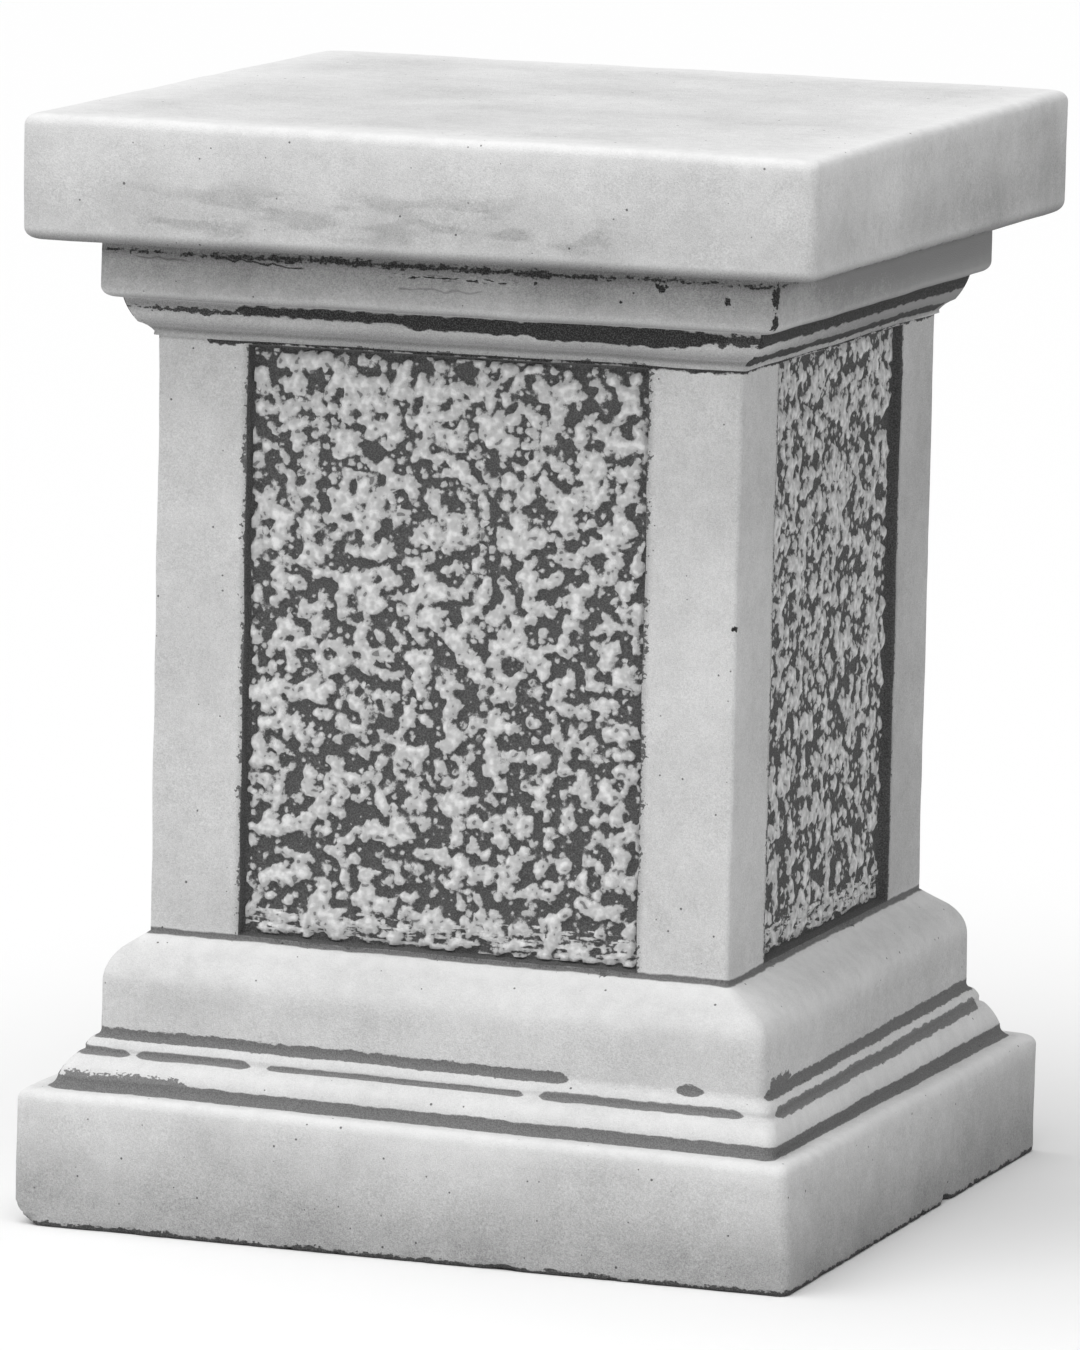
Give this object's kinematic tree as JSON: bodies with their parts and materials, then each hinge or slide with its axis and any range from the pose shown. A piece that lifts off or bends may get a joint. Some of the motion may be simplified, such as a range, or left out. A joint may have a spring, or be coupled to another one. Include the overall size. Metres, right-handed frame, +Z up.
{
  "type": "square pedestal",
  "caption": "Square cast stone garden pedestal: moulded base, shaft with sunk roughcast panels, fascia and thick plain slab.",
  "frame": {"origin": "middle of the underside of the plinth, on the ground", "axes": "+Z up through the slab; -Y is the front, with the wider roughcast panel, as is the back; the faces at +X and -X have the narrower panels"},
  "size_m": [0.298, 0.298, 0.402],
  "materials": {
    "cast_stone": "matt"
  },
  "bodies": {
    "root": {"pedestal": "cast_stone"}
  },
  "joints": []
}
